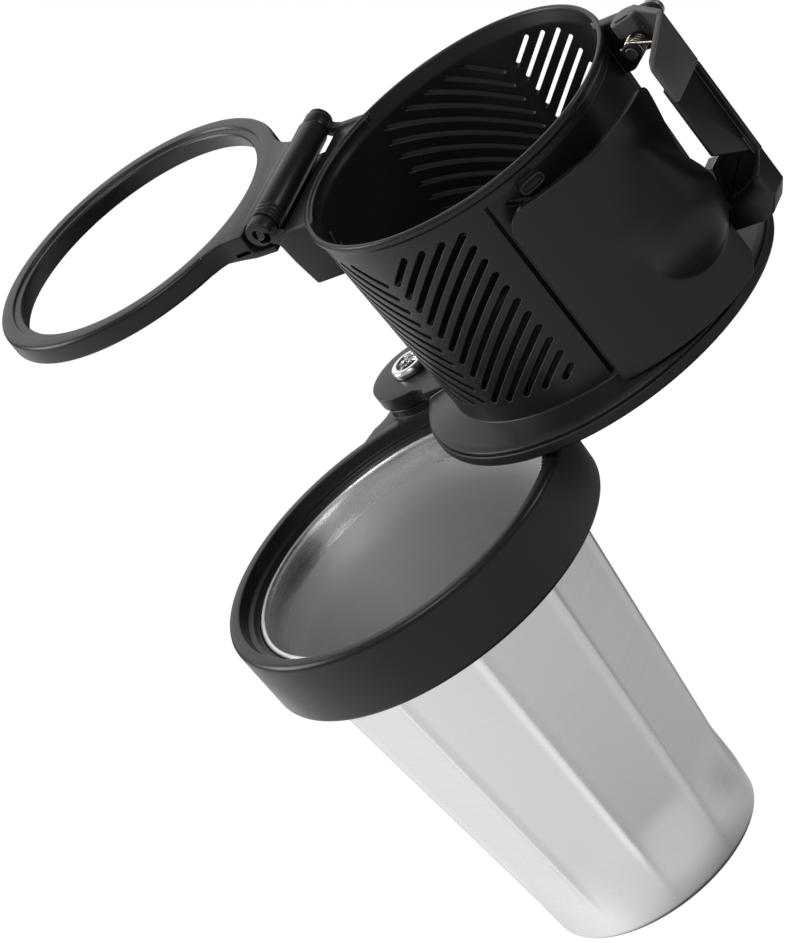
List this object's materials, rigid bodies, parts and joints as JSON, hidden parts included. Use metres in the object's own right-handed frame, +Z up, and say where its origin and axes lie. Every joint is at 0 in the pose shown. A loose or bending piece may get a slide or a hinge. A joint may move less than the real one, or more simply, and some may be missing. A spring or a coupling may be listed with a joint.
{
  "type": "air vent cup holder",
  "caption": "Air vent cup holder: slotted basket on a sprung vent lever, with a fold-over ring above and a swing-out ring below that holds a steel cup.",
  "frame": {"origin": "middle of the grip on the vent blade, between the nose of the back plate and the lever", "axes": "+Z up along the basket axis, +Y towards the vent, +X across the vent"},
  "size_m": [0.1457, 0.1942, 0.1792],
  "materials": {
    "black_plastic": "satin black plastic",
    "black_plastic_dark": "satin black plastic, darker",
    "ring_plastic": "smooth black plastic",
    "cover_plastic": "satin dark grey plastic",
    "soft_seat": "soft matt black",
    "soft_pad": "soft matt grey",
    "cup_steel": "brushed stainless steel",
    "screw_steel": "plain steel",
    "pin_steel": "plain steel",
    "bright_pin": "bright plated",
    "spring_wire": "coppery spring wire"
  },
  "bodies": {
    "holder": {"basket": "black_plastic", "base_tray": "black_plastic_dark", "tray_screw_a": "screw_steel", "tray_screw_b": "screw_steel", "tray_screw_c": "screw_steel", "back_plate": "black_plastic", "plate_screw_a": "screw_steel", "plate_screw_b": "screw_steel", "clamp_pin": "pin_steel", "pin_clip": "black_plastic_dark", "clamp_spring": "spring_wire", "flip_pin": "pin_steel", "flip_cap": "black_plastic_dark", "swivel_pin": "bright_pin", "swivel_washer": "screw_steel", "swivel_spring": "screw_steel", "swivel_nut": "screw_steel"},
    "upper_ring": {"flip_ring": "ring_plastic"},
    "cup_arm": {"swivel_ring": "ring_plastic", "cup_seat": "soft_seat", "steel_cup": "cup_steel"},
    "vent_lever": {"clamp_lever": "black_plastic", "clamp_cover": "cover_plastic", "grip_pad": "soft_pad"}
  },
  "joints": [
    {"name": "ring_fold", "type": "hinge", "parent": "holder", "child": "upper_ring", "pos_m": [0, -0.1004, 0.0319], "axis": [-1, 0, 0], "range_deg": [0, 180]},
    {"name": "cup_swing", "type": "hinge", "parent": "holder", "child": "cup_arm", "pos_m": [0, -0.1068, -0.033], "axis": [0, 0, 1], "range_deg": [-60, 78.1]},
    {"name": "lever_open", "type": "hinge", "parent": "holder", "child": "vent_lever", "pos_m": [-0.012, -0.0067, 0.0262], "axis": [1, 0, 0], "range_deg": [0, 24], "stiffness_Nm_per_rad": 0.25, "springref_deg": -28.65}
  ]
}
